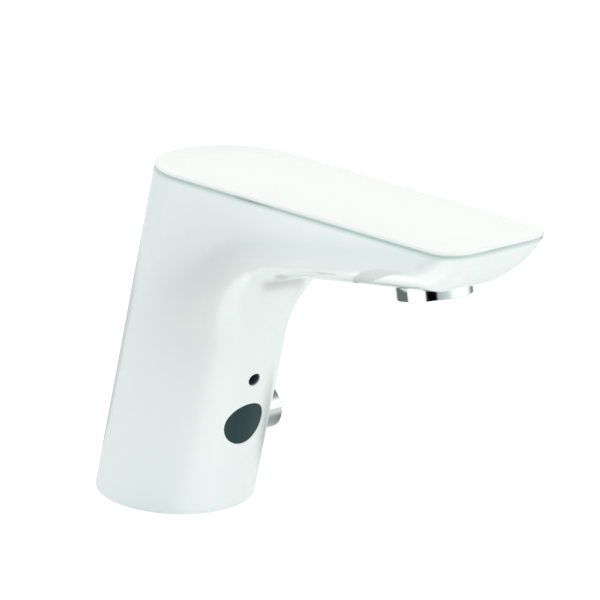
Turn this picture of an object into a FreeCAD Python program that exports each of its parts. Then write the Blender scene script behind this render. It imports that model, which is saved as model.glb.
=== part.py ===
import FreeCAD, Part

import math
import os

import Sketcher
from FreeCAD import Placement, Rotation, Vector

# A deck-mounted washbasin tap that opens by itself when a hand comes near.
# The casting is one leaning oval column that turns into a flat spout. A round sensor
# window looks out of its front, a small knob for the water's temperature stands on its
# right-hand side, and an aerator ring closes the spout's outlet.
#
# Frame: +X is the way the spout points, +Y the side with the knob, +Z up.
# The origin is the centre of the oval foot, on the deck. Sizes are in millimetres,
# angles in degrees.

DRIVING_SIZES = [
    # the casting
    ("tap_height", 130.0),
    ("base_half_length", 32.0),
    ("base_half_width", 28.0),
    ("top_half_width", 26.0),
    ("lean_offset", 38.5),
    ("spout_reach", 172.3),
    ("spout_front_half_width", 23.0),
    ("spout_corner_radius", 9.0),
    ("spout_tip_thickness", 1.7),
    ("spout_belly_width", 18.5),
    ("spout_belly_depth", 14.0),
    ("nose_start", 150.0),
    ("nose_corner_width", 11.0),
    ("underside_slope", 0.146),
    ("top_edge_radius", 1.6),
    ("front_edge_radius", 0.6),
    ("elbow_radius", 33.5),
    ("body_wall", 3.0),
    ("spout_cavity_reach", 118.0),
    # the outlet
    ("outlet_reach", 141.0),
    ("outlet_height", 109.5),
    ("outlet_tilt", 10.0),
    ("ring_drop", 3.5),
    ("ring_radius", 12.5),
    ("ring_skirt", 7.0),
    ("ring_thread_radius", 12.0),
    ("ring_thread_length", 5.0),
    ("ring_bore_radius", 10.6),
    ("ring_lip_radius", 9.8),
    ("ring_lip_height", 1.2),
    ("screen_thickness", 1.0),
    ("screen_hole_width", 1.7),
    ("screen_pitch", 2.7),
    ("insert_wall", 1.4),
    ("insert_height", 9.5),
    ("limiter_radius", 6.0),
    ("limiter_thickness", 2.0),
    ("limiter_hole_radius", 0.8),
    ("gasket_thickness", 1.4),
    ("gasket_hole_radius", 8.0),
    ("outlet_chamber_radius", 8.0),
    ("outlet_chamber_height", 5.5),
    # the sensor
    ("window_height", 35.5),
    ("window_radius", 8.5),
    ("window_thickness", 2.4),
    ("window_inset", 0.2),
    ("housing_wall", 1.0),
    ("housing_depth", 15.0),
    ("housing_flange_radius", 10.5),
    ("housing_flange_start", 6.8),
    ("housing_flange_thickness", 1.4),
    ("window_seal_thickness", 1.0),
    ("board_start", 10.0),
    ("board_thickness", 1.6),
    ("emitter_radius", 2.5),
    ("emitter_length", 5.2),
    ("eye_spacing", 7.2),
    ("receiver_width", 4.6),
    ("receiver_depth", 3.6),
    ("clamp_hole_height", 53.4),
    ("clamp_hole_radius", 2.5),
    ("clamp_screw_length", 5.0),
    ("clamp_screw_recess", 3.8),
    ("bracket_thickness", 1.5),
    ("bracket_width", 8.0),
    # the base
    ("base_plate_thickness", 7.0),
    ("seal_inset", 0.6),
    ("seal_width", 1.6),
    ("seal_depth", 1.8),
    ("inlet_setback", 20.5),
    ("inlet_spacing", 19.0),
    ("inlet_socket_radius", 4.55),
    ("inlet_socket_depth", 8.5),
    ("inlet_nipple_radius", 6.6),
    ("inlet_nipple_recess", 1.0),
    ("stud_forward", 10.0),
    ("stud_socket_radius", 3.4),
    ("connector_setback", 9.0),
    ("connector_radius", 3.0),
    ("connector_flange_radius", 4.0),
    ("connector_height", 11.0),
    ("connector_bore_radius", 2.2),
    ("boss_setback", 12.0),
    ("boss_side_inset", 16.0),
    ("boss_radius", 4.0),
    ("boss_top", 20.0),
    ("base_screw_radius", 2.0),
    ("base_screw_length", 12.0),
    ("base_screw_head_radius", 3.5),
    ("base_screw_head_height", 2.4),
    # the valve block
    ("block_inset", 3.4),
    ("block_setback", 13.5),
    ("block_top", 46.0),
    ("check_radius", 3.9),
    ("check_wall", 1.0),
    ("check_height", 13.5),
    ("check_seat_radius", 1.7),
    ("check_travel", 2.0),
    ("poppet_radius", 2.5),
    ("check_vent_radius", 0.55),
    ("poppet_thickness", 1.3),
    ("poppet_stem_radius", 1.0),
    ("filter_thickness", 0.9),
    ("filter_hole_width", 1.1),
    ("waterway_radius", 2.2),
    # the mixing cartridge and the knob
    ("knob_height", 25.0),
    ("sleeve_radius", 9.0),
    ("sleeve_wall", 2.0),
    ("sleeve_inner_end", 17.0),
    ("rotor_length", 26.5),
    ("rotor_port_depth", 3.5),
    ("cartridge_nut_length", 7.0),
    ("stop_lug_angle", 40.0),
    ("stop_lug_length", 2.4),
    ("knob_turn", 45.0),
    ("spindle_radius", 3.0),
    ("bush_radius", 5.0),
    ("bush_flange_radius", 6.0),
    ("bush_flange_thickness", 1.2),
    ("knob_radius", 8.4),
    ("knob_start", 28.4),
    ("knob_end", 39.0),
    ("knob_wall", 1.3),
    ("knob_face", 2.6),
    ("knob_hub_radius", 4.6),
    ("knob_edge_radius", 0.7),
    ("knob_screw_radius", 1.5),
    # the solenoid valve
    ("solenoid_forward", 6.0),
    ("diaphragm_radius", 9.6),
    ("diaphragm_rim", 1.9),
    ("diaphragm_web", 1.0),
    ("diaphragm_core_radius", 4.6),
    ("seat_radius", 4.6),
    ("seat_bore_radius", 3.0),
    ("chamber_depth", 4.0),
    ("bonnet_width", 23.0),
    ("bonnet_thickness", 4.5),
    ("bonnet_screw_pitch", 18.4),
    ("bonnet_screw_radius", 1.25),
    ("armature_radius", 4.0),
    ("armature_wall", 0.9),
    ("armature_height", 34.0),
    ("armature_flange_radius", 6.0),
    ("armature_flange_thickness", 1.4),
    ("plunger_length", 22.0),
    ("plunger_travel", 1.8),
    ("plunger_spring_length", 10.0),
    ("plunger_spring_wire", 0.5),
    ("coil_radius", 8.8),
    ("coil_height", 24.0),
    ("bobbin_radius", 9.5),
    ("bobbin_flange", 1.0),
    ("bobbin_wall", 0.9),
    ("terminal_reach", 16.5),
    ("terminal_width", 5.0),
    ("yoke_thickness", 1.2),
    ("yoke_width", 12.0),
    # the outlet tube and the leads
    ("tube_radius", 3.5),
    ("tube_bore_radius", 2.5),
    ("tube_side", 16.5),
    ("tube_socket_depth", 6.0),
    ("tube_below_top", 8.3),
    ("o_ring_thickness", 1.2),
    ("lead_radius", 0.7),
    # fits
    ("seat_gap", 0.1),
    ("running_gap", 0.05),
]

# how finely the casting's form is described
OVAL_STEPS = 40         # straight pieces by which a quarter oval is measured
BELLY_POINTS = 6        # points from the middle of the belly to the flank
BACK_POINTS = 8         # points from there to the middle of the back
COLUMN_STEPS = 3        # sections up the straight column
FAN_STEPS = 10          # planes in the elbow
SPOUT_STEPS = 3         # sections along the straight spout
NOSE_STEPS = 6          # sections along the nose
NOSE_POWER = 2.3        # how late the nose sweeps up
BLEND_END = 0.45        # share of the elbow over which the oval becomes the flat belly
LAST_COLUMN_ANGLE = math.radians(108)   # planes flatter than this no longer cut the column
ABOVE_TOP = 12.0        # how far above the flat top the sections of the spout close
FAR = 60.0              # well outside the casting

doc = FreeCAD.newDocument("sensor_tap")
sheet = doc.addObject("Spreadsheet::Sheet", "Sizes")


class Length:
    """A number that remembers how it is worked out from the cells of the sheet."""

    def __init__(self, number, formula):
        self.number = number
        self.formula = formula

    def __float__(self):
        return self.number

    def combine(self, other, sign, number):
        return Length(number, "(%s %s %s)" % (self.formula, sign, as_length(other).formula))

    def __add__(self, other):
        return self.combine(other, "+", self.number + float(other))

    def __sub__(self, other):
        return self.combine(other, "-", self.number - float(other))

    def __mul__(self, other):
        return self.combine(other, "*", self.number * float(other))

    def __truediv__(self, other):
        return self.combine(other, "/", self.number / float(other))

    def __neg__(self):
        return self * -1

    def __radd__(self, other):
        return as_length(other) + self

    def __rsub__(self, other):
        return as_length(other) - self

    def __rmul__(self, other):
        return as_length(other) * self


def as_length(value):
    return value if isinstance(value, Length) else Length(float(value), "(%r)" % float(value))


class Sizes:
    """The driving sizes, each one a cell of the sheet with its own alias."""

    def __init__(self, rows):
        for number, (name, value) in enumerate(rows, start=1):
            sheet.set("A%d" % number, name)
            sheet.set("B%d" % number, "%g" % value)
            sheet.setAlias("B%d" % number, name)
        doc.recompute()
        for name, value in rows:
            setattr(self, name, Length(float(getattr(sheet, name)), "Sizes." + name))


s = Sizes(DRIVING_SIZES)

UP, DOWN = Vector(0, 0, 1), Vector(0, 0, -1)
RIGHT, LEFT = Vector(0, 1, 0), Vector(0, -1, 0)
FORWARD, BACK = Vector(1, 0, 0), Vector(-1, 0, 0)


# ---------------------------------------------------------------- building helpers

def bind(item, name, value):
    """Set a property and tie it to the sheet."""
    value = as_length(value)
    if not name.startswith("Placement"):
        setattr(item, name, value.number)
    item.setExpression(name, value.formula)


def place(item, base=(0, 0, 0), rotation=Rotation()):
    item.Placement = Placement(Vector(*[float(value) for value in base]), rotation)
    for axis, value in zip("xyz", base):
        if isinstance(value, Length):
            bind(item, "Placement.Base." + axis, value)
    return item


def rod(name, radius, base, length, along=UP, angle=360.0):
    """A round bar or the tool that drills a round hole."""
    bar = doc.addObject("Part::Cylinder", name)
    bind(bar, "Radius", radius)
    bind(bar, "Height", length)
    bar.Angle = float(angle)
    return place(bar, base, Rotation(UP, along))


def six_sided(name, across, base, length):
    """The tool that makes a six-sided hole; across is from corner to corner."""
    bar = doc.addObject("Part::Prism", name)
    bar.Polygon = 6
    bind(bar, "Circumradius", across / 2)
    bind(bar, "Height", length)
    return place(bar, base)


def brick(name, size, base):
    """A box from its corner nearest the origin of its frame."""
    box = doc.addObject("Part::Box", name)
    for side, value in zip(("Length", "Width", "Height"), size):
        bind(box, side, value)
    return place(box, base)


def cut(name, base, *tools):
    """The base piece with each tool taken away in turn."""
    result = base
    for number, tool in enumerate(tools, start=1):
        earlier = result
        result = doc.addObject("Part::Cut", name if number == len(tools) else "%s_cut%d" % (name, number))
        result.Base = earlier
        result.Tool = tool
    return result


def join(name, *pieces):
    result = doc.addObject("Part::MultiFuse", name)
    result.Shapes = list(pieces)
    return result


def overlap(name, *pieces):
    result = doc.addObject("Part::MultiCommon", name)
    result.Shapes = list(pieces)
    return result


def group(name, *pieces):
    """Loose pieces of one kind that share a node."""
    result = doc.addObject("Part::Compound", name)
    result.Links = list(pieces)
    return result


def ready_shape(name, shape):
    """A piece whose form is worked out with the kernel's own functions."""
    result = doc.addObject("Part::Feature", name)
    result.Shape = shape
    return result


def turned(name, profile):
    """A turned piece: its half profile, as (radius, height) corners, revolved about Z."""
    body = doc.addObject("PartDesign::Body", name)
    sketch = body.newObject("Sketcher::SketchObject", name + "_profile")
    plane = [item for item in body.Origin.OriginFeatures if item.Role == "XZ_Plane"][0]
    sketch.AttachmentSupport = (plane, [""])
    sketch.MapMode = "FlatFace"
    corners = [(as_length(r), as_length(h)) for r, h in profile]
    points = [Vector(float(r), float(h), 0) for r, h in corners]
    count = len(points)
    for number in range(count):
        sketch.addGeometry(Part.LineSegment(points[number], points[(number + 1) % count]), False)
    for number, (radius, height) in enumerate(corners):
        sketch.addConstraint(Sketcher.Constraint("Coincident", number, 2, (number + 1) % count, 1))
        for kind, value in (("DistanceX", radius), ("DistanceY", height)):
            index = sketch.addConstraint(Sketcher.Constraint(kind, number, 1, value.number))
            sketch.setExpression("Constraints[%d]" % index, value.formula)
    revolution = body.newObject("PartDesign::Revolution", name + "_turned")
    revolution.Profile = sketch
    revolution.ReferenceAxis = (sketch, ["V_Axis"])
    revolution.Angle = 360.0
    return body


def washer(name, outer, inner, start, end):
    return turned(name, [(inner, start), (outer, start), (outer, end), (inner, end)])


def round_rims(body, radius, heights):
    """Round the outermost circular edges of a turned piece at the given heights."""
    doc.recompute()
    wanted = []
    for height in heights:
        rims = [(edge.Curve.Radius, "Edge%d" % number)
                for number, edge in enumerate(body.Tip.Shape.Edges, start=1)
                if edge.Curve.TypeId == "Part::GeomCircle"
                and abs(edge.Curve.Center.z - float(height)) < 1e-6]
        wanted.append(max(rims)[1])
    turned_form = body.Tip
    fillet = body.newObject("PartDesign::Fillet", body.Name + "_rims")
    fillet.Base = (turned_form, wanted)
    bind(fillet, "Radius", radius)
    body.Tip = fillet
    return body


def route(points):
    """Straight runs joined by tangent arcs, each as large as its two runs allow."""
    corners = [Vector(*[float(value) for value in point]) for point in points]
    edges, radii, start = [], [], corners[0]
    for before, corner, after in zip(corners, corners[1:], corners[2:]):
        back, on = (before - corner), (after - corner)
        shorter = min(back.Length, on.Length)
        back.normalize()
        on.normalize()
        turn = math.pi - back.getAngle(on)
        trim = 0.45 * shorter
        radius = trim / math.tan(turn / 2.0)
        into, out = corner + back * trim, corner + on * trim
        middle_way = (back + on).normalize()
        middle = corner + middle_way * (math.hypot(radius, trim) - radius)
        edges.append(Part.LineSegment(start, into).toShape())
        edges.append(Part.Arc(into, middle, out).toShape())
        radii.append(radius)
        start = out
    edges.append(Part.LineSegment(start, corners[-1]).toShape())
    return Part.Wire(edges), radii


def pipe_shape(points, radius):
    path, radii = route(points)
    first = path.Edges[0]
    start = first.valueAt(first.FirstParameter)
    ring = Part.Wire([Part.makeCircle(float(radius), start, first.tangentAt(first.FirstParameter))])
    return path.makePipeShell([ring], True, False), radii


def lead(name, points):
    """A round lead along its route, laid as straight runs and arcs."""
    shape, radii = pipe_shape(points, s.lead_radius)
    print(name, "bend radii", ["%.1f" % radius for radius in radii])
    return ready_shape(name, shape)


# ---------------------------------------------------------------- lines of the casting

lean = s.lean_offset / s.tap_height
lean_angle = math.degrees(math.atan(float(lean)))


def column_centre(height):
    """How far forward the leaning column's centre is at a height."""
    return lean * height


def column_half_width(height):
    return s.base_half_width + (s.top_half_width - s.base_half_width) / s.tap_height * height


def underside(reach, inset=0.0):
    """Height of the spout's lowest line."""
    slope = float(s.underside_slope)
    return float(s.outlet_height) + slope * (reach - float(s.outlet_reach)) + inset * math.hypot(1, slope)


def front_line(height, inset=0.0):
    return float(s.base_half_length + lean * height) - inset * math.hypot(1, float(lean))


def elbow_centre():
    """The point that lies one elbow radius from the column's front and from the underside."""
    slope, rise, radius = float(lean), float(s.underside_slope), float(s.elbow_radius)
    x_front = float(s.base_half_length) + radius * math.hypot(1, slope)
    z_under = float(s.outlet_height - s.underside_slope * s.outlet_reach) - radius * math.hypot(1, rise)
    x = (x_front + slope * z_under) / (1 - slope * rise)
    return x, z_under + rise * x


def quarter_oval(corner_width, half_width, depth):
    """From the middle of an oval's end, (0, 0), along its flat part and round to its flank."""
    corner_width = min(corner_width, half_width)
    angles = [math.pi / 2 * step / OVAL_STEPS for step in range(OVAL_STEPS + 1)]
    return [(0.0, 0.0)] + [(half_width - corner_width * (1 - math.sin(angle)), depth * (1 - math.cos(angle)))
                           for angle in angles]


def evenly(line, count):
    """The ends of equal shares of a line's length, its own start left out."""
    lengths = [math.dist(start, end) for start, end in zip(line, line[1:])]
    points, walked, number = [], 0.0, 0
    for share in range(1, count):
        wanted = sum(lengths) * share / count
        while walked + lengths[number] < wanted:
            walked += lengths[number]
            number += 1
        part = (wanted - walked) / lengths[number]
        points.append(tuple(a + (b - a) * part for a, b in zip(line[number], line[number + 1])))
    return points + [line[-1]]


def section(point, inward, half_width, corner_width, belly_depth, back_start, back_depth):
    """The points of a closed oval section, in the plane of the side and an inward direction.

    The given point is the section's front or lowest one. From it the section goes round
    the belly, up a straight flank to back_start and round the half oval of the back.
    The points start at the middle of the back and lie at even distances in each part.
    """
    belly = quarter_oval(corner_width, half_width, belly_depth)
    back = [(side, back_start + back_depth - depth)
            for side, depth in reversed(quarter_oval(half_width, half_width, back_depth))]
    half = [(0.0, 0.0)] + evenly(belly, BELLY_POINTS) + evenly([belly[-1]] + back, BACK_POINTS)
    ring = list(reversed(half)) + [(-side, depth) for side, depth in half[1:-1]]
    origin, inward = Vector(point[0], 0, point[1]), Vector(inward[0], 0, inward[1])
    return [origin + Vector(0, side, 0) + inward * depth for side, depth in ring]


def pole_between(before, point, after):
    """The pole that makes a cubic spline pass through a point, to second order."""
    return point - (before + after - point * 2) / 6.0


def skin(sections):
    """A solid bounded by one smooth surface over closed sections and a flat face at each end.

    The surface is cubic both ways. Each pole depends on its neighbours alone, so the
    form can't ripple where the distance between sections changes.
    """
    around = [[pole_between(ring[number - 1], ring[number], ring[(number + 1) % len(ring)])
               for number in range(len(ring))] for ring in sections]
    rows = [around[0]]
    for before, ring, after in zip(around, around[1:], around[2:]):
        rows.append([pole_between(*trio) for trio in zip(before, ring, after)])
    rows.append(around[-1])
    inner = len(rows) - 3
    surface = Part.BSplineSurface()
    surface.buildFromPolesMultsKnots(rows, [4] + [1] * (inner - 1) + [4], [1] * (len(rows[0]) + 1),
                                     list(range(inner + 1)), list(range(len(rows[0]) + 1)),
                                     False, True, 3, 3)
    ends = [Part.Face(Part.Wire([surface.uIso(knot).toShape()])) for knot in (0, inner)]
    shell = Part.makeShell([surface.toShape()] + ends)
    shell.sewShape()
    return Part.makeSolid(shell)


def spout_half_width(reach):
    """Half the spout's width: a straight taper, then a round front corner."""
    corner = float(s.spout_corner_radius)
    corner_start = float(s.spout_reach) - corner
    share = (reach - float(s.lean_offset)) / (corner_start - float(s.lean_offset))
    top, front = float(s.top_half_width), float(s.spout_front_half_width)
    if share <= 0:
        return top
    if share <= 1:
        return top + (front - top) * share
    over = min(1.0, (reach - corner_start) / corner)
    return front - corner + corner * math.sqrt(1 - over * over)


def smooth(share):
    share = min(1.0, max(0.0, share))
    return share * share * (3 - 2 * share)


def column_slice_shape(inset, low, high):
    """The leaning oval column between two heights, drawn in by an inset."""
    side_inset = float(inset)
    long_inset = side_inset * math.hypot(1, float(lean))
    rings = []
    for height in (float(low), float(high)):
        ring = Part.Ellipse(Vector(float(column_centre(height)), 0, height),
                            float(s.base_half_length) - long_inset,
                            float(column_half_width(height)) - side_inset)
        rings.append(Part.Wire([ring.toShape()]))
    return Part.makeLoft(rings, True, True)


def casting_shape(inset=0.0, floor=0.0, reach_end=None):
    """The outer form of the casting, or the same form drawn in by a wall.

    It is one loft of closed sections: level across the column, turning about the
    elbow's centre, then upright across the spout and its nose. What stands above the
    flat top is cut off.
    """
    slope, rise = float(lean), float(s.underside_slope)
    top = float(s.tap_height) - inset
    centre_x, centre_z = elbow_centre()
    elbow = float(s.elbow_radius) + inset
    half_length = float(s.base_half_length) - inset * math.hypot(1, slope)
    belly_width = float(s.spout_belly_width) - inset
    belly_depth = float(s.spout_belly_depth) - inset

    sections = []
    for step in range(COLUMN_STEPS):
        height = floor + (centre_z - floor) * step / COLUMN_STEPS
        half_width = float(column_half_width(height)) - inset
        sections.append(section((front_line(height, inset), height), (-1, 0), half_width, half_width,
                                half_length, half_length, half_length))

    # the fan of planes about the elbow's centre
    column_normal = math.pi - math.atan(slope)
    spout_normal = math.pi / 2 + math.atan(rise)
    to_column_axis = elbow + half_length * math.cos(math.atan(slope))
    for step in range(FAN_STEPS + 1):
        share = step / float(FAN_STEPS)
        angle = math.pi - share * math.pi / 2
        blend = smooth(share / BLEND_END)
        away = elbow / math.cos(max(angle - column_normal, spout_normal - angle, 0.0))
        off_column = math.cos(max(angle, LAST_COLUMN_ANGLE) - column_normal)
        oblique = math.cos(math.atan(slope)) / off_column
        axis_away = to_column_axis / off_column
        axis_height = centre_z + axis_away * math.sin(angle)
        back_away = min(axis_away, (top + ABOVE_TOP - centre_z) / max(math.sin(angle), 0.1))
        if axis_height < top:
            half_width = float(column_half_width(axis_height)) - inset
        else:
            top_reach = centre_x + (top - centre_z) / math.tan(angle)
            half_width = spout_half_width(top_reach) - inset
        column_depth = half_length * oblique
        sections.append(section((centre_x + math.cos(angle) * away, centre_z + math.sin(angle) * away),
                                (math.cos(angle), math.sin(angle)), half_width,
                                half_width + (belly_width - half_width) * blend,
                                column_depth + (belly_depth - column_depth) * blend,
                                back_away - away, column_depth))
    back_height = top + ABOVE_TOP

    # upright sections along the spout and its nose
    end = float(s.spout_reach) if reach_end is None else reach_end
    nose = float(s.nose_start) if reach_end is None else reach_end
    for step in range(1, SPOUT_STEPS + 1):
        reach = centre_x + (nose - centre_x) * step / SPOUT_STEPS
        height = underside(reach, inset)
        sections.append(section((reach, height), (0, 1), spout_half_width(reach) - inset,
                                belly_width, belly_depth, back_height - height, column_depth))
    if reach_end is None:
        steep = top - float(s.spout_tip_thickness) - underside(nose) - rise * (end - nose)
        for step in range(1, NOSE_STEPS + 1):
            share = math.sin(math.pi / 2 * step / NOSE_STEPS)
            reach = nose + (end - nose) * share
            height = underside(reach) + steep * share ** NOSE_POWER
            corner_width = belly_width + (float(s.nose_corner_width) - belly_width) * share
            sections.append(section((reach, height), (0, 1), spout_half_width(reach), corner_width,
                                    min(belly_depth, top - height), back_height - height, column_depth))

    form = skin(sections)
    below_top = Part.makeBox(2 * FAR + end, 2 * FAR, top - floor + FAR, Vector(-FAR, -FAR, floor - FAR))
    return form.common(below_top)


# ---------------------------------------------------------------- frames of the fittings

def frame(base, pitch):
    """A fitting's own frame: its base point and its tilt about the side axis."""
    return Placement(Vector(*[float(value) for value in base]), Rotation(RIGHT, pitch))


# the sensor looks out square to the column's front: local Z goes into the column
window_base = (s.base_half_length + lean * s.window_height, 0, s.window_height)
sensor_frame = frame(window_base, lean_angle - 90)
# the outlet leans forward: local Z goes up into the spout, from the ring's lower rim
outlet_frame = frame((s.outlet_reach, 0, s.outlet_height - s.ring_drop), -float(s.outlet_tilt))

# what stands on the base plate keeps its distance from the foot's edge
inlet_x = s.inlet_setback - s.base_half_length
inlet_sides = {"hot": s.inlet_spacing / 2, "cold": -s.inlet_spacing / 2}
boss_x = s.base_half_length - s.boss_setback
boss_sides = (s.base_half_width - s.boss_side_inset, s.boss_side_inset - s.base_half_width)
connector_x = s.base_half_length - s.connector_setback
# the knob's axis crosses the column's centre line
knob_x = lean * s.knob_height
clamp_up = (s.clamp_hole_height - s.window_height) / math.cos(math.radians(lean_angle))
plate_top = s.base_plate_thickness
tube_z = s.tap_height - s.tube_below_top

nodes = {}


def node(name, item, local_frame=None):
    """Name a finished piece; one that was built in a fitting's frame is put in its place."""
    item.Label = name
    if local_frame is not None:
        item.Placement = local_frame
    nodes[name] = item
    return item


# ---------------------------------------------------------------- casting

def rounded_top(casting_outside):
    """Round the rim of the flat top, less towards the front of the spout."""
    radii = []
    for number, edge in enumerate(casting_outside.Shape.Edges, start=1):
        ends = [edge.valueAt(edge.FirstParameter), edge.valueAt(edge.LastParameter)]
        if min(end.z for end in ends) > float(s.tap_height) - 1e-3:
            start, end = [float(s.front_edge_radius if point.x > float(s.nose_start) else s.top_edge_radius)
                          for point in ends]
            radii.append((number, start, end))
    rim = doc.addObject("Part::Fillet", "casting_rim")
    rim.Base = casting_outside
    rim.Edges = radii
    return rim


def casting():
    outside = rounded_top(ready_shape("casting_outside", casting_shape()))
    hollow = ready_shape("casting_hollow", casting_shape(float(s.body_wall), -float(s.body_wall),
                                                         float(s.spout_cavity_reach)))
    lugs = []
    for side in boss_sides:
        post = rod("boss_post", s.boss_radius, (boss_x, side, plate_top), s.boss_top - plate_top)
        web = brick("boss_web", (s.boss_radius * 3, s.boss_radius * 2, s.boss_top - plate_top),
                    (boss_x, side - s.boss_radius, plate_top))
        lugs += [post, web]
    within = ready_shape("boss_limit", column_slice_shape(s.body_wall / 2, -1, s.boss_top + 5))
    bosses = overlap("bosses", join("boss_posts", *lugs), within)
    shell = join("shell", cut("bare_shell", outside, hollow), bosses)

    tools = []
    for side in boss_sides:
        tools.append(rod("boss_hole", s.base_screw_radius + s.seat_gap / 2, (boss_x, side, 0),
                         s.base_screw_length + s.base_screw_head_height + 1))
    window = rod("window_hole", s.window_radius, (0, 0, -5), 14)
    clamp = rod("clamp_hole", s.clamp_hole_radius, (clamp_up, 0, -5), 12)
    tools.append(join("front_holes", window, clamp))
    tools[-1].Placement = sensor_frame
    tools.append(rod("bush_hole", s.bush_radius + s.running_gap, (knob_x, 0, s.knob_height), 40, RIGHT))
    tools.append(rod("bush_flange_seat", s.bush_flange_radius + s.seat_gap,
                     (knob_x, s.knob_start - s.bush_flange_thickness - s.seat_gap * 2, s.knob_height),
                     20, RIGHT))
    skirt = rod("ring_skirt_hole", s.ring_radius + s.seat_gap, (0, 0, -10), s.ring_skirt + s.seat_gap + 10)
    thread = rod("ring_thread_hole", s.ring_thread_radius + s.running_gap, (0, 0, 0),
                 s.ring_skirt + s.ring_thread_length + s.gasket_thickness + s.seat_gap)
    chamber = rod("outlet_chamber", s.outlet_chamber_radius, (0, 0, 0),
                  s.ring_skirt + s.ring_thread_length + s.gasket_thickness + s.outlet_chamber_height)
    tools.append(join("outlet_bores", skirt, thread, chamber))
    tools[-1].Placement = outlet_frame
    tools.append(rod("tube_end_socket", s.tube_radius + s.running_gap,
                     (s.spout_cavity_reach - 2, 0, tube_z), s.tube_socket_depth + 2, FORWARD))
    tools.append(rod("tube_waterway", s.tube_bore_radius, (s.spout_cavity_reach, 0, tube_z),
                     s.outlet_reach - s.spout_cavity_reach - 5, FORWARD))
    node("tap_body", cut("tap_body", shell, join("casting_bores", *tools)))


# ---------------------------------------------------------------- base

def base():
    plate = ready_shape("plate_blank", column_slice_shape(s.body_wall + s.seat_gap, 0, plate_top))
    tools = []
    seal_out = s.body_wall + s.seal_inset
    groove_out = column_slice_shape(seal_out, -1, s.seal_depth)
    groove_in = column_slice_shape(seal_out + s.seal_width, -1, s.seal_depth)
    tools.append(ready_shape("seal_groove", groove_out.cut(groove_in)))
    for name, side in inlet_sides.items():
        tools.append(rod(name + "_nipple_hole", s.inlet_nipple_radius + s.seat_gap,
                         (inlet_x, side, -1), plate_top + 2))
    tools.append(rod("stud_socket", s.stud_socket_radius, (s.stud_forward, 0, -1), plate_top + 2))
    tools.append(rod("connector_hole", s.connector_radius + s.running_gap,
                     (connector_x, 0, -1), plate_top + 2))
    screws = []
    for side in boss_sides:
        at = (boss_x, side, 0)
        tools.append(rod("screw_hole", s.base_screw_radius + s.seat_gap, at, plate_top + 1))
        tools.append(rod("screw_head_seat", s.base_screw_head_radius + s.seat_gap, (at[0], at[1], -1),
                         s.base_screw_head_height + s.seal_depth + 1))
        screws.append(base_screw(at))
    node("base_plate", cut("base_plate", plate, *tools))
    node("base_screws", group("base_screws", *screws))

    gap = s.seat_gap
    ring_out = column_slice_shape(seal_out + gap, 0, s.seal_depth - gap)
    ring_in = column_slice_shape(seal_out + s.seal_width - gap, -1, s.seal_depth + 1)
    node("base_seal", ready_shape("base_seal", ring_out.cut(ring_in)))

    start = 1.0
    top = s.connector_height
    socket = turned("connector_shell", [
        (0, plate_top - 2), (s.connector_bore_radius, plate_top - 2), (s.connector_bore_radius, start),
        (s.connector_radius, start), (s.connector_radius, plate_top),
        (s.connector_flange_radius, plate_top), (s.connector_flange_radius, plate_top + 1.2),
        (s.connector_radius, plate_top + 1.2), (s.connector_radius, top), (0, top)])
    place(socket, (connector_x, 0, 0))
    node("signal_connector", socket)


def base_screw(at):
    """A countersunk-in-a-seat machine screw, its head down, with a cross recess."""
    head_start = s.seal_depth
    body = turned("base_screw", [
        (0, head_start), (s.base_screw_head_radius, head_start),
        (s.base_screw_head_radius, head_start + s.base_screw_head_height),
        (s.base_screw_radius, head_start + s.base_screw_head_height),
        (s.base_screw_radius, s.base_screw_length + s.base_screw_head_height),
        (0, s.base_screw_length + s.base_screw_head_height)])
    slot = s.base_screw_radius * 2
    cross = [brick("screw_slot", (slot, 0.8, 1.4), (-slot / 2, -0.4, head_start - 0.2)),
             brick("screw_slot", (0.8, slot, 1.4), (-0.4, -slot / 2, head_start - 0.2))]
    screw = cut("base_screw_slotted", body, *cross)
    return place(screw, at)


# ---------------------------------------------------------------- valve block and check valves

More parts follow.
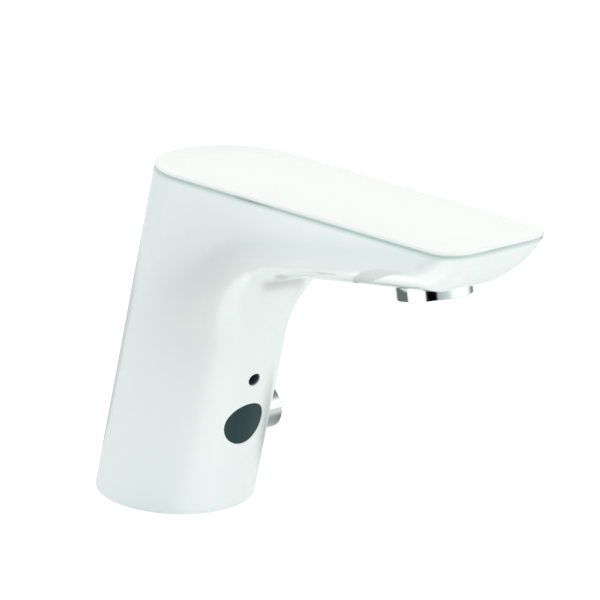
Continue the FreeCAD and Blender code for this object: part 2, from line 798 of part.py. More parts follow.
def valve_block():
    bottom = plate_top + s.seat_gap / 2
    block = ready_shape("block_slice", column_slice_shape(s.body_wall + s.block_inset, bottom, s.block_top))
    front = brick("block_limit", (s.base_half_length - s.block_setback + FAR, 2 * FAR, FAR), (-FAR, -FAR, 0))
    blank = overlap("block_blank", block, front)
    nipples = [rod(name + "_nipple", s.inlet_nipple_radius, (inlet_x, side, s.inlet_nipple_recess),
                   plate_top + 1) for name, side in inlet_sides.items()]
    body = join("block_with_nipples", blank, *nipples)

    tools = []
    socket_top = s.inlet_nipple_recess + s.inlet_socket_depth
    check_top = socket_top + s.filter_thickness + s.check_height + 3 * s.seat_gap
    for name, side in inlet_sides.items():
        tools.append(rod(name + "_socket", s.inlet_socket_radius, (inlet_x, side, 0), socket_top))
        tools.append(rod(name + "_check_bore", s.check_radius + s.running_gap, (inlet_x, side, 0),
                         check_top + s.waterway_radius * 2))
        tools.append(rod(name + "_waterway", s.waterway_radius, (inlet_x, side, check_top
                         + s.waterway_radius), knob_x - inlet_x, FORWARD))
    # the cartridge's bore, open towards the knob
    tools.append(rod("cartridge_bore", s.sleeve_radius + s.running_gap,
                     (knob_x, -s.sleeve_inner_end - s.seat_gap, s.knob_height), 60, RIGHT))
    # the diaphragm's chamber in the top: a rim seat, an annular chamber and the raised outlet seat
    seat_z = s.block_top - s.diaphragm_rim - s.seat_gap
    tools.append(rod("diaphragm_seat", s.diaphragm_radius + s.seat_gap, (s.solenoid_forward, 0, seat_z), 10))
    annulus = cut("annulus", rod("annulus_outer", s.diaphragm_radius - 1.4,
                                 (s.solenoid_forward, 0, seat_z - s.chamber_depth), s.chamber_depth + 1),
                  rod("annulus_post", s.seat_radius, (s.solenoid_forward, 0, seat_z - s.chamber_depth - 1),
                      s.chamber_depth + 3))
    tools.append(annulus)
    outlet_z = s.block_top - s.tube_socket_depth - s.tube_bore_radius
    tools.append(rod("seat_bore", s.seat_bore_radius, (s.solenoid_forward, 0, outlet_z),
                     s.block_top - outlet_z))
    tools.append(rod("block_outlet", s.waterway_radius, (s.solenoid_forward, 0, outlet_z + 0.5),
                     s.tube_side + 1, LEFT))
    tools.append(rod("tube_foot", s.tube_bore_radius, (s.solenoid_forward, -s.tube_side, outlet_z - 1.5),
                     s.tube_socket_depth))
    tools.append(rod("tube_foot_socket", s.tube_radius + s.running_gap,
                     (s.solenoid_forward, -s.tube_side, s.block_top - s.tube_socket_depth), 20))
    # the mixed water's way from the cartridge up to the annular chamber
    tools.append(rod("mixed_waterway", s.waterway_radius, (knob_x, s.seat_radius + s.waterway_radius,
                     s.knob_height), s.block_top - s.knob_height - s.diaphragm_rim - 1))
    for side in boss_sides:
        tools.append(rod("boss_clearance", s.boss_radius + s.seat_gap, (boss_x, side, 0),
                         s.boss_top + s.seat_gap))
    for spot in bonnet_corners():
        tools.append(rod("bonnet_thread", s.bonnet_screw_radius + s.running_gap,
                         (spot[0], spot[1], s.block_top - 6), 7))
    node("valve_block", cut("valve_block", body, *tools))


def bonnet_corners():
    half = s.bonnet_screw_pitch / 2
    return [(s.solenoid_forward + along * half, across * half) for along in (-1, 1) for across in (-1, 1)]


def check_valves():
    """A strainer, and a sprung poppet in its housing, above each inlet."""
    filter_z = s.inlet_nipple_recess + s.inlet_socket_depth + s.seat_gap
    foot = filter_z + s.filter_thickness + s.seat_gap
    for name, side in inlet_sides.items():
        at = (inlet_x, side, 0)
        disc = washer(name + "_filter_disc", s.check_radius, 0, filter_z, filter_z + s.filter_thickness)
        holes = [six_sided("filter_hole", s.filter_hole_width, (x, y, filter_z - 1), 3)
                 for x, y in round_grid(s.check_radius - 1.6, 1.5)]
        strainer = cut(name + "_filter", disc, *holes)
        node(name + "_filter", place(strainer, at))

        inner = s.check_radius - s.check_wall
        top = foot + s.check_height
        roof = top - 1.2
        shell = turned(name + "_check_shell", [
            (s.check_seat_radius, foot), (s.check_radius, foot), (s.check_radius, top),
            (s.poppet_stem_radius + s.running_gap, top), (s.poppet_stem_radius + s.running_gap, roof),
            (inner, roof), (inner, foot + s.check_wall), (s.check_seat_radius, foot + s.check_wall)])
        vents = [rod("check_vent", s.check_vent_radius, (2.1 * math.cos(turn), 2.1 * math.sin(turn), roof - 1), 4)
                 for turn in [math.pi / 3 * number for number in range(6)]]
        node(name + "_check_housing", place(cut(name + "_check_housing", shell, *vents), at))

        seat = foot + s.check_wall
        head_top = seat + s.poppet_thickness
        stem_top = top - s.check_travel + 1.4
        poppet = turned(name + "_poppet", [
            (0, seat), (s.poppet_radius, seat), (s.poppet_radius, head_top),
            (s.poppet_stem_radius, head_top), (s.poppet_stem_radius, stem_top), (0, stem_top)])
        node(name + "_check_poppet", place(poppet, at))
        spring = washer(name + "_spring", s.poppet_stem_radius + 0.7, s.poppet_stem_radius + 0.2,
                        head_top, roof)
        node(name + "_check_spring", place(spring, at))


def round_grid(reach, pitch):
    """Points of a triangular grid within a radius."""
    reach, pitch = float(reach), float(pitch)
    rows = int(reach / pitch) + 1
    points = []
    for row in range(-rows, rows + 1):
        for column in range(-rows, rows + 1):
            x, y = (column + row / 2.0) * pitch, row * pitch * math.sqrt(3) / 2
            if math.hypot(x, y) <= reach + 1e-6:
                points.append((x, y))
    return points


# ---------------------------------------------------------------- mixing cartridge and knob

def cartridge():
    """Built along local Z, which is the knob's axis and points out of the tap's side."""
    along = Placement(Vector(float(knob_x), 0, float(s.knob_height)), Rotation(UP, RIGHT))
    inner_end = -s.sleeve_inner_end
    bore = s.sleeve_radius - s.sleeve_wall
    rotor_start = inner_end + 1.6
    rotor_end = rotor_start + s.rotor_length
    sleeve = turned("sleeve_tube", [
        (0, inner_end), (s.sleeve_radius, inner_end), (s.sleeve_radius, rotor_end + s.seat_gap),
        (bore, rotor_end + s.seat_gap), (bore, rotor_start - s.running_gap), (0, rotor_start - s.running_gap)])
    to_local = along.inverse()
    ports = []
    for side in inlet_sides.values():
        start = to_local.multVec(Vector(float(knob_x), float(side), float(s.knob_height)))
        ports.append(rod("sleeve_port", s.waterway_radius, start, s.sleeve_radius + 2,
                         to_local.Rotation.multVec(BACK)))
    start = to_local.multVec(Vector(float(knob_x), float(s.seat_radius + s.waterway_radius), float(s.knob_height)))
    ports.append(rod("sleeve_outlet", s.waterway_radius, start, s.sleeve_radius + 2,
                     to_local.Rotation.multVec(UP)))
    node("cartridge_sleeve", cut("cartridge_sleeve", sleeve, *ports), along)

    # the rotor: a drum with one pocket per inlet, turned apart, and a stop lug on its end
    drum = turned("rotor_drum", [
        (0, rotor_start), (bore - s.running_gap, rotor_start), (bore - s.running_gap, rotor_end),
        (s.spindle_radius, rotor_end), (s.spindle_radius, rotor_start + 4), (0, rotor_start + 4)])
    lug = sector("stop_lug", s.spindle_radius + 1.2, bore - 1.0, rotor_end - 1, s.stop_lug_length + 1,
                 s.stop_lug_angle)
    pockets = []
    for side, turn in ((s.inlet_spacing / 2, 22.5), (-s.inlet_spacing / 2, -22.5)):
        pocket = brick("rotor_pocket", (6, 8, s.waterway_radius * 2), (0, 0, 0))
        depth = float(bore - s.rotor_port_depth)
        pocket.Placement = Placement(Vector(0, 0, float(side - s.waterway_radius)),
                                     Rotation(UP, 180 + turn)).multiply(
                                         Placement(Vector(depth, -4, 0), Rotation()))
        pockets.append(pocket)
    rotor = cut("mixing_rotor", join("rotor_blank", drum, lug), *pockets)
    node("mixing_rotor", rotor, along)

    nut_start = rotor_end + s.seat_gap * 2
    nut_end = nut_start + s.cartridge_nut_length
    nut = turned("nut_blank", [
        (s.spindle_radius + s.running_gap, nut_start), (s.sleeve_radius, nut_start), (s.sleeve_radius, nut_end),
        (s.spindle_radius + s.running_gap, nut_end)])
    slot = sector("stop_slot", s.spindle_radius + 1.1, bore - 0.8, nut_start - 1,
                  s.stop_lug_length + 1.2, s.stop_lug_angle + s.knob_turn * 2 + 2)
    keys = [brick("nut_key", (s.sleeve_radius * 3, 2, 2), (-s.sleeve_radius * 1.5, -1, nut_end - 1.5))]
    seal_z = nut_start + s.stop_lug_length + 1.6
    seal_groove = washer("nut_groove", s.spindle_radius + s.o_ring_thickness + s.seat_gap,
                         s.spindle_radius, seal_z, seal_z + s.o_ring_thickness + 2 * s.seat_gap)
    node("cartridge_nut", cut("cartridge_nut", nut, slot, seal_groove, *keys), along)
    ring = washer("spindle_seal", s.spindle_radius + s.o_ring_thickness, s.spindle_radius + s.running_gap,
                  seal_z + s.seat_gap, seal_z + s.seat_gap + s.o_ring_thickness)
    node("spindle_seal", ring, along)

    spindle_end = s.knob_end - s.knob_face - 0.6
    spindle = turned("spindle_bar", [
        (0, rotor_start + 4), (s.spindle_radius, rotor_start + 4), (s.spindle_radius, spindle_end - 0.4),
        (s.spindle_radius - 0.4, spindle_end), (0, spindle_end)])
    node("mixing_spindle", spindle, along)

    bush_out = s.knob_start - s.seat_gap
    bush = turned("spindle_bush", [
        (s.spindle_radius + s.running_gap, bush_out - s.bush_flange_thickness - s.body_wall),
        (s.bush_radius, bush_out - s.bush_flange_thickness - s.body_wall),
        (s.bush_radius, bush_out - s.bush_flange_thickness),
        (s.bush_flange_radius, bush_out - s.bush_flange_thickness), (s.bush_flange_radius, bush_out),
        (s.spindle_radius + s.running_gap, bush_out)])
    node("spindle_bush", bush, along)
    knob(along)


def sector(name, inner, outer, start, length, degrees):
    """Part of a ring, its middle towards local +X."""
    plus = rod(name + "_outer", outer, (0, 0, start), length, UP, degrees)
    minus = rod(name + "_inner", inner, (0, 0, start - 1), length + 2)
    half = float(degrees) / 2
    plus.Placement = Placement(Vector(0, 0, float(as_length(start))), Rotation(UP, -half))
    return cut(name, plus, minus)


def knob(along):
    back = s.knob_start + s.seat_gap * 2
    hollow_end = s.knob_end - s.knob_face
    hub_start = back + 0.6
    inside = s.knob_radius - s.knob_wall
    bore_end = hollow_end - 0.5
    body = turned("knob_shell", [
        (s.spindle_radius, hub_start), (s.knob_hub_radius, hub_start), (s.knob_hub_radius, hollow_end),
        (inside, hollow_end), (inside, back), (s.knob_radius, back), (s.knob_radius, s.knob_end),
        (0, s.knob_end), (0, bore_end), (s.spindle_radius, bore_end)])
    round_rims(body, s.knob_edge_radius, [s.knob_end])
    screw_at = (back + s.knob_end - s.knob_face) / 2
    hole = rod("knob_screw_hole", s.knob_screw_radius + s.running_gap, (0, 0, screw_at), s.knob_radius + 2, RIGHT)
    node("temperature_knob", cut("temperature_knob", body, hole), along)
    # local Y points down on the tap, so the grub screw is under the knob
    screw = rod("knob_screw_bar", s.knob_screw_radius, (0, s.spindle_radius + s.seat_gap, screw_at),
                s.knob_radius - s.spindle_radius - 1.2, RIGHT)
    socket = rod("knob_screw_socket", 0.75, (0, s.knob_radius - 2.6, screw_at), 3, RIGHT)
    node("knob_screw", cut("knob_screw", screw, socket), along)


# ---------------------------------------------------------------- solenoid valve

def solenoid():
    """Built upright above the valve block's chamber; z counts from the block's top."""
    at = (s.solenoid_forward, 0, s.block_top)
    rim = s.diaphragm_rim
    diaphragm = turned("diaphragm", [
        (0, -rim), (s.diaphragm_core_radius, -rim), (s.diaphragm_core_radius + 1, s.diaphragm_web - rim - 0.2),
        (s.diaphragm_radius - 1.4, s.diaphragm_web - rim - 0.2), (s.diaphragm_radius - 1.4, -rim),
        (s.diaphragm_radius, -rim), (s.diaphragm_radius, -s.running_gap),
        (s.diaphragm_radius - 1.4, -s.running_gap), (s.diaphragm_radius - 1.4, s.diaphragm_web - rim + 0.3),
        (s.diaphragm_core_radius, s.diaphragm_web - rim + 0.3), (s.diaphragm_core_radius, -s.running_gap),
        (0, -s.running_gap)])
    node("diaphragm", place(diaphragm, at))

    plate = brick("bonnet_plate", (s.bonnet_width, s.bonnet_width, s.bonnet_thickness),
                  (-s.bonnet_width / 2, -s.bonnet_width / 2, 0))
    half = s.bonnet_screw_pitch / 2
    holes, screws = [], []
    tools = [rod("bonnet_flange_seat", s.armature_flange_radius + s.seat_gap, (0, 0, -1),
                 s.armature_flange_thickness + s.seat_gap + 1),
             rod("bonnet_tube_hole", s.armature_radius + s.seat_gap, (0, 0, -1), 10)]
    for along in (-1, 1):
        for across in (-1, 1):
            spot = (along * half, across * half, 0)
            tools.append(rod("bonnet_screw_hole", s.bonnet_screw_radius + s.seat_gap,
                             (spot[0], spot[1], -1), 10))
            screws.append(bonnet_screw(spot))
    node("solenoid_bonnet", place(cut("solenoid_bonnet", plate, *tools), at))
    screw_group = group("bonnet_screws", *screws)
    node("bonnet_screws", place(screw_group, at))

    bore = s.armature_radius - s.armature_wall
    roof = s.armature_height - 1.2
    core_start = s.plunger_length + s.plunger_travel
    tube = turned("armature_tube", [
        (bore, 0), (s.armature_flange_radius, 0), (s.armature_flange_radius, s.armature_flange_thickness),
        (s.armature_radius, s.armature_flange_thickness), (s.armature_radius, s.armature_height),
        (0, s.armature_height), (0, roof), (bore, roof)])
    node("armature_tube", place(tube, at))
    core = turned("fixed_core", [
        (0, core_start), (bore - s.running_gap, core_start), (bore - s.running_gap, roof - s.running_gap),
        (0, roof - s.running_gap)])
    node("fixed_core", place(core, at))
    spring_start = core_start - s.plunger_spring_length
    plunger = turned("plunger", [
        (0, 0), (1.2, 0), (bore - 2 * s.running_gap, 1.2), (bore - 2 * s.running_gap, s.plunger_length),
        (2.0, s.plunger_length), (2.0, spring_start), (0, spring_start)])
    node("plunger", place(plunger, at))
    spring = washer("plunger_spring", 1.85, 1.85 - s.plunger_spring_wire, spring_start, core_start)
    node("plunger_spring", place(spring, at))

    coil_start = s.bonnet_thickness + s.yoke_thickness
    coil_end = coil_start + s.coil_height
    tube_hole = s.armature_radius + s.seat_gap
    spool = tube_hole + s.bobbin_wall
    bobbin = turned("bobbin_spool", [
        (tube_hole, coil_start), (s.bobbin_radius, coil_start), (s.bobbin_radius, coil_start + s.bobbin_flange),
        (spool, coil_start + s.bobbin_flange), (spool, coil_end - s.bobbin_flange),
        (s.bobbin_radius, coil_end - s.bobbin_flange), (s.bobbin_radius, coil_end), (tube_hole, coil_end)])
    terminal = brick("terminal", (s.terminal_reach - s.bobbin_radius + 2, s.terminal_width, 5),
                     (s.bobbin_radius - 2, -s.terminal_width / 2, coil_end - 5))
    trimmed = cut("terminal_trimmed", terminal, rod("terminal_relief", s.coil_radius + s.seat_gap, (0, 0, 0),
                                                    coil_end - s.bobbin_flange))
    node("coil_bobbin", place(join("coil_bobbin", bobbin, trimmed), at))
    winding = washer("coil_winding", s.coil_radius, spool + s.seat_gap / 2,
                     coil_start + s.bobbin_flange + s.seat_gap / 2, coil_end - s.bobbin_flange - s.seat_gap / 2)
    node("coil_winding", place(winding, at))

    side = s.bobbin_radius + s.seat_gap
    strip = [brick("yoke_foot", (s.yoke_width, side + s.yoke_thickness + 6, s.yoke_thickness),
                   (-s.yoke_width / 2, -6, s.bonnet_thickness)),
             brick("yoke_head", (s.yoke_width, side + s.yoke_thickness + 6, s.yoke_thickness),
                   (-s.yoke_width / 2, -6, coil_end)),
             brick("yoke_side", (s.yoke_width, s.yoke_thickness, s.coil_height + 2 * s.yoke_thickness),
                   (-s.yoke_width / 2, side, s.bonnet_thickness))]
    opening = rod("yoke_hole", s.armature_radius + s.seat_gap, (0, 0, 0), coil_end + 10)
    node("coil_yoke", place(cut("coil_yoke", join("yoke_strip", *strip), opening), at))


def bonnet_screw(spot):
    top = s.bonnet_thickness
    body = turned("bonnet_screw", [
        (0, -5), (s.bonnet_screw_radius, -5), (s.bonnet_screw_radius, top), (s.bonnet_screw_radius + 1, top),
        (s.bonnet_screw_radius + 1, top + 1.5), (0, top + 1.5)])
    socket = rod("bonnet_screw_socket", 0.8, (0, 0, top + 0.6), 2)
    return place(cut("bonnet_screw_cut", body, socket), spot)


# ---------------------------------------------------------------- outlet tube, ring and aerator

def outlet():
    start_z = s.block_top - s.tube_socket_depth + s.seat_gap
    end_x = s.spout_cavity_reach + s.tube_socket_depth - s.seat_gap
    climb = 30.0
    points = [(s.solenoid_forward, -s.tube_side, start_z),
              (s.solenoid_forward, -s.tube_side, start_z + 14),
              (s.solenoid_forward + 1.6 + 0.30 * climb, -s.tube_side + 1.0, start_z + 14 + climb),
              (38.0, -8.0, tube_z - 9.0),
              (66.0, -1.5, tube_z - 1.5),
              (end_x - 30, 0, tube_z),
              (end_x, 0, tube_z)]
    solid, radii = pipe_shape(points, s.tube_radius)
    print("outlet tube bend radii", ["%.1f" % radius for radius in radii])
    hollow, radii = pipe_shape(points, s.tube_bore_radius)
    node("outlet_tube", cut("outlet_tube", ready_shape("tube_outside", solid), ready_shape("tube_inside", hollow)))

    lip = s.ring_lip_height
    top = s.ring_skirt + s.ring_thread_length
    ring = turned("ring_blank", [
        (s.ring_lip_radius, 0), (s.ring_radius, 0), (s.ring_radius, s.ring_skirt),
        (s.ring_thread_radius, s.ring_skirt), (s.ring_thread_radius, top), (s.ring_bore_radius, top),
        (s.ring_bore_radius, lip), (s.ring_lip_radius, lip)])
    round_rims(ring, 0.4, [0])
    node("aerator_ring", ring, outlet_frame)

    gap = s.seat_gap
    insert_start = lip + gap / 2
    insert_top = insert_start + s.insert_height
    insert_out = s.ring_bore_radius - gap
    shelf = insert_top - s.limiter_thickness - gap
    insert = turned("insert_shell", [
        (s.ring_lip_radius - 1, insert_start), (insert_out, insert_start), (insert_out, insert_top),
        (s.limiter_radius + gap, insert_top), (s.limiter_radius + gap, shelf), (4.2, shelf),
        (4.2, shelf - 1.2), (insert_out - s.insert_wall, shelf - 2.6), (insert_out - s.insert_wall, insert_start + 1.2),
        (s.ring_lip_radius - 1, insert_start + 1.2)])
    node("aerator_insert", insert, outlet_frame)
    screen_top = insert_start
    disc = washer("screen_disc", s.ring_lip_radius - gap / 2, 0, screen_top - s.screen_thickness, screen_top)
    holes = [six_sided("screen_hole", s.screen_hole_width, (x, y, -1), 4)
             for x, y in round_grid(s.ring_lip_radius - 1.6, s.screen_pitch)]
    node("aerator_screen", cut("aerator_screen", disc, *holes), outlet_frame)
    limiter = washer("limiter_disc", s.limiter_radius, 0, shelf + gap / 2, shelf + gap / 2 + s.limiter_thickness)
    jets = [rod("limiter_jet", s.limiter_hole_radius,
                (3.2 * math.cos(turn), 3.2 * math.sin(turn), shelf - 1), 5)
            for turn in [math.pi / 3 * number for number in range(6)]]
    node("flow_limiter", cut("flow_limiter", limiter, *jets), outlet_frame)
    gasket = washer("aerator_gasket", s.ring_thread_radius - gap, s.gasket_hole_radius, top, top + s.gasket_thickness)
    node("aerator_gasket", gasket, outlet_frame)


# ---------------------------------------------------------------- sensor

def sensor():
    """Built in the sensor's frame: local Z goes into the column from the window's centre."""
    to_local = sensor_frame.inverse()

    def local(shape):
        moved = shape.copy()
        moved.transformShape(to_local.toMatrix(), True)
        return moved

    high = s.window_height + s.window_radius * 3
    outer = column_slice_shape(s.window_inset, 0, high)
    behind = column_slice_shape(s.window_inset + s.window_thickness, -1, high + 1)
    round_blank = rod("window_blank", s.window_radius - s.running_gap, (0, 0, -5), 14)
    shell = ready_shape("window_shell", local(outer.cut(behind)))
    lens = overlap("window_lens", shell, round_blank)
    node("sensor_window", lens, sensor_frame)

    gap = s.seat_gap
    cup_radius = s.window_radius - gap
    flange = s.housing_flange_start
    wall_in = cup_radius - s.housing_wall
    rear = s.housing_depth
    cup = turned("housing_cup", [
        (wall_in, 0), (cup_radius, 0), (cup_radius, flange), (s.housing_flange_radius, flange),
        (s.housing_flange_radius, flange + s.housing_flange_thickness),
        (cup_radius, flange + s.housing_flange_thickness), (cup_radius, rear), (0, rear),
        (0, rear - s.housing_wall), (wall_in, rear - s.housing_wall)])
    front_limit = ready_shape("housing_limit", local(column_slice_shape(
        s.window_inset + s.window_thickness + gap, -1, high + 10)))
    node("sensor_housing", overlap("sensor_housing", cup, front_limit), sensor_frame)
    seal_end = flange - s.running_gap
    seal = washer("window_seal", s.housing_flange_radius - gap, cup_radius + gap,
                  seal_end - s.window_seal_thickness, seal_end)
    node("window_seal", seal, sensor_frame)

    board = washer("sensor_board", wall_in - gap, 0, s.board_start, s.board_start + s.board_thickness)
    node("sensor_board", board, sensor_frame)
    eye = s.eye_spacing / 2
    led_front = s.board_start - s.emitter_length
    led = turned("emitter_lamp", [
        (0, led_front), (1.4, led_front + 0.35), (2.1, led_front + 1.0), (s.emitter_radius, led_front + 2.2),
        (s.emitter_radius, s.board_start - 1), (s.emitter_radius + 0.4, s.board_start - 1),
        (s.emitter_radius + 0.4, s.board_start), (0, s.board_start)])
    node("ir_emitter", group("ir_emitter", place(led, (eye, 0, 0))), sensor_frame)
    width = s.receiver_width
    cell = brick("receiver_cell", (width, width, s.receiver_depth),
                 (-eye - width / 2, -width / 2, s.board_start - s.receiver_depth))
    dome = doc.addObject("Part::Sphere", "receiver_dome")
    bind(dome, "Radius", width * 0.36)
    place(dome, (-eye, 0, s.board_start - s.receiver_depth))
    node("ir_receiver", join("ir_receiver", cell, dome), sensor_frame)

    # the clamp: a strap on the housing's flange, and a grub screw reached through the small hole
    strap_start = flange + s.housing_flange_thickness + gap / 2
    strap = brick("clamp_strap", (clamp_up, s.bracket_width, s.bracket_thickness),
                  (0, -s.bracket_width / 2, strap_start))
    ear = rod("clamp_ear", s.bracket_width / 2, (clamp_up, 0, s.clamp_screw_recess), strap_start
              + s.bracket_thickness - s.clamp_screw_recess)
    collar = rod("clamp_collar", cup_radius + 2, (0, 0, strap_start), s.bracket_thickness)
    cup_hole = rod("clamp_cup_hole", cup_radius + gap / 2, (0, 0, 0), 30)
    screw_hole = rod("clamp_screw_hole", s.clamp_hole_radius - 0.35 + s.running_gap, (clamp_up, 0, 0), 30)
    bracket = cut("sensor_clamp", join("clamp_blank", strap, ear, collar), cup_hole, screw_hole)
    node("sensor_clamp", bracket, sensor_frame)
    grub = rod("clamp_grub", s.clamp_hole_radius - 0.35, (clamp_up, 0, s.clamp_screw_recess + 0.4),
               s.clamp_screw_length)
    key = rod("clamp_key", 1.1, (clamp_up, 0, s.clamp_screw_recess - 1), 3.2)
    node("clamp_screw", cut("clamp_screw", grub, key), sensor_frame)


# ---------------------------------------------------------------- leads inside the column

def leads():
    exit_at = sensor_frame.multVec(Vector(-float(s.window_radius - s.seat_gap), 0, float(s.housing_depth) - 2.5))
    down = sensor_frame.Rotation.multVec(Vector(-1, 0, 0))
    x = float(connector_x)
    travel = (exit_at.x - x) / -down.x
    knee = exit_at + down * travel
    node("sensor_lead", lead("sensor_lead", [exit_at, knee, (x, 0, s.connector_height)]))

    rear = sensor_frame.multVec(Vector(0, 0, float(s.housing_depth)))
    out = sensor_frame.Rotation.multVec(UP)
    terminal_x = s.solenoid_forward + s.terminal_reach - 1.4
    terminal_z = s.block_top + s.bonnet_thickness + s.yoke_thickness + s.coil_height - 5
    travel = (rear.x - float(terminal_x)) / -out.x
    knee = rear + out * travel
    node("valve_lead", lead("valve_lead", [rear, knee, (terminal_x, 0, terminal_z)]))


casting()
base()
valve_block()
check_valves()
cartridge()
solenoid()
outlet()
sensor()
leads()

doc.recompute()
faults = [item.Name for item in doc.Objects if "Invalid" in item.State or "Error" in item.State]
for name, item in nodes.items():
    shape = item.Shape
    if shape.isNull() or not shape.isValid() or not shape.Solids:
        faults.append(name)
if faults:
    raise RuntimeError("failed pieces: " + ", ".join(faults))
os.makedirs("parts", exist_ok=True)
for name, item in nodes.items():
    item.Shape.exportStep("parts/%s.step" % name)
print(len(nodes), "pieces written")
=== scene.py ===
import math

import bmesh
import bpy
from mathutils import Matrix, Vector


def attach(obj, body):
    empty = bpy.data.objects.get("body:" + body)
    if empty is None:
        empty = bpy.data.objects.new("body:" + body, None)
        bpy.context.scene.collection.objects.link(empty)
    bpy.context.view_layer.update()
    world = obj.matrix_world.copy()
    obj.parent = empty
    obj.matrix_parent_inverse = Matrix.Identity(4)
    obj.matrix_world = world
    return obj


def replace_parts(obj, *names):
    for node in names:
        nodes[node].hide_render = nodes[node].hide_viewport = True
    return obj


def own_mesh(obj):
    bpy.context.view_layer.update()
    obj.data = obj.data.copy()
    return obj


# A white sensor tap for a washbasin, dressed over its CAD frame. Lengths are in metres.
MM = 0.001
WHITE = (1, 1, 1, 1)

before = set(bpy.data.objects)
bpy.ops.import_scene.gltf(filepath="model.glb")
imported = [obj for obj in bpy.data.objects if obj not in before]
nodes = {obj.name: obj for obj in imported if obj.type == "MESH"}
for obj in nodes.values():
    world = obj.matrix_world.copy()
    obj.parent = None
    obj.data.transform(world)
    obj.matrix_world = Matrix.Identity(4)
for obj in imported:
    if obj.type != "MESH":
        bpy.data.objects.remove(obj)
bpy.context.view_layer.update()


# ------------------------------------------------------------------ small helpers

def colour(hex_code):
    """An sRGB hex colour as the linear values that a shader socket takes."""
    shares = [int(hex_code[start:start + 2], 16) / 255 for start in (1, 3, 5)]
    return [share / 12.92 if share <= 0.04045 else ((share + 0.055) / 1.055) ** 2.4
            for share in shares] + [1.0]


def add_node(tree, kind, inputs=None, **settings):
    """Add one node; an input goes by name or number, as a value or as the socket that feeds it."""
    made = tree.nodes.new("ShaderNode" + kind)
    for name, value in settings.items():
        setattr(made, name, value)
    for name, value in (inputs or {}).items():
        if isinstance(value, bpy.types.NodeSocket):
            tree.links.new(value, made.inputs[name])
        else:
            made.inputs[name].default_value = value
    return made


def arithmetic(tree, operation, *values):
    return add_node(tree, "Math", dict(enumerate(values)), operation=operation).outputs[0]


def blend(tree, share, first, second):
    return add_node(tree, "Mix", {0: share, 6: first, 7: second}, data_type="RGBA").outputs[2]


def ramp_between(tree, value, low, high):
    """0 at low, 1 at high, and smooth between them."""
    return add_node(tree, "MapRange", {"Value": value, "From Min": low, "From Max": high},
                    interpolation_type="SMOOTHSTEP").outputs[0]


def empty_material(name):
    material = bpy.data.materials.new(name)
    material.use_nodes = True
    material.node_tree.nodes.clear()
    return material


# ------------------------------------------------------------------ camera

# fitted to the photo: the lens is in millimetres on a sensor 36 mm wide
CAMERA_PLACE = (0.74512, -0.55848, 0.35289)
CAMERA_LOOKS_AT = (0.04569, 0.02268, 0.07802)
CAMERA_LENS, CAMERA_SENSOR = 159.78, 36


def turned_towards(place, target):
    """The rotation that points a camera or a lamp from place to target."""
    return (Vector(target) - Vector(place)).to_track_quat("-Z", "Y").to_euler()


camera_data = bpy.data.cameras.new("camera")
camera_data.sensor_width = CAMERA_SENSOR
camera_data.lens = CAMERA_LENS
camera = bpy.data.objects.new("camera", camera_data)
camera.location = CAMERA_PLACE
camera.rotation_euler = turned_towards(CAMERA_PLACE, CAMERA_LOOKS_AT)
bpy.context.scene.collection.objects.link(camera)
bpy.context.scene.camera = camera


# ------------------------------------------------------------------ finishes

PATCH_SIZE = 18 * MM                               # the slow change of tone over every surface


def finish(name, base, roughness, grain, depth, spread=0.04, tint=0.03, stretch=(1, 1, 1), **shader):
    """A surface whose gloss, tone and relief vary a little.

    grain and depth are the real size and height of its texture; spread is how far the
    roughness varies, and tint how far the colour does. A stretch above 1 makes the texture
    finer along that axis, and one below 1 makes it longer. The rest goes to the shader.
    """
    material = empty_material(name)
    tree = material.node_tree
    place = add_node(tree, "TexCoord").outputs["Object"]
    laid = add_node(tree, "Mapping", {"Vector": place, "Scale": stretch}).outputs["Vector"]
    speckle = add_node(tree, "TexNoise", {"Vector": laid, "Scale": 1 / grain, "Detail": 3.0}).outputs["Fac"]
    patches = add_node(tree, "TexNoise", {"Vector": place, "Scale": 1 / PATCH_SIZE,
                                          "Detail": 2.0}).outputs["Fac"]
    gloss = add_node(tree, "MapRange", {"Value": speckle, "To Min": max(0.0, roughness - spread),
                                        "To Max": roughness + spread}).outputs["Result"]
    darker = [share * (1 - tint) for share in base[:3]] + [1]
    tone = blend(tree, patches, darker, base)
    relief = add_node(tree, "Bump", {"Height": speckle, "Distance": depth}).outputs["Normal"]
    inputs = {"Base Color": tone, "Roughness": gloss, "Normal": relief}
    inputs.update({socket.replace("_", " "): value for socket, value in shader.items()})
    surface = add_node(tree, "BsdfPrincipled", inputs)
    add_node(tree, "OutputMaterial", {"Surface": surface.outputs["BSDF"]})
    return material


def dress(material, *names):
    """Give one finish to CAD nodes."""
    for name in names:
        piece = nodes[name]
        piece.data.materials.clear()
        piece.data.materials.append(material)


# stove enamel over brass: wet-looking, with a faint orange-peel ripple
white_enamel = finish("white_stove_enamel", colour("#F3F6F5"), roughness=0.13, grain=2.5 * MM,
                      depth=0.003 * MM, spread=0.02, tint=0.01, IOR=1.52, Coat_Weight=0.4,
                      Coat_Roughness=0.05)
# decorative chrome over brass: mirror-like, with hair-fine polishing haze
chrome = finish("chrome_plate", colour("#E3E8E7"), roughness=0.08, grain=0.6 * MM, depth=0.0004 * MM,
                spread=0.02, tint=0.02, Metallic=1.0)
# moulded filter plastic that only infrared passes: glossy and nearly black, with a teal cast
window_plastic = finish("infrared_window_acrylic", colour("#1D383C"), roughness=0.07, grain=1.5 * MM,
                        depth=0.0006 * MM, spread=0.02, IOR=1.49, Specular_IOR_Level=0.2)
# machined brass: fine grain, as if turned about Z
brass = finish("machined_brass", colour("#C9A45C"), roughness=0.28, grain=0.25 * MM, depth=0.002 * MM,
               stretch=(1, 1, 6), Metallic=1.0)
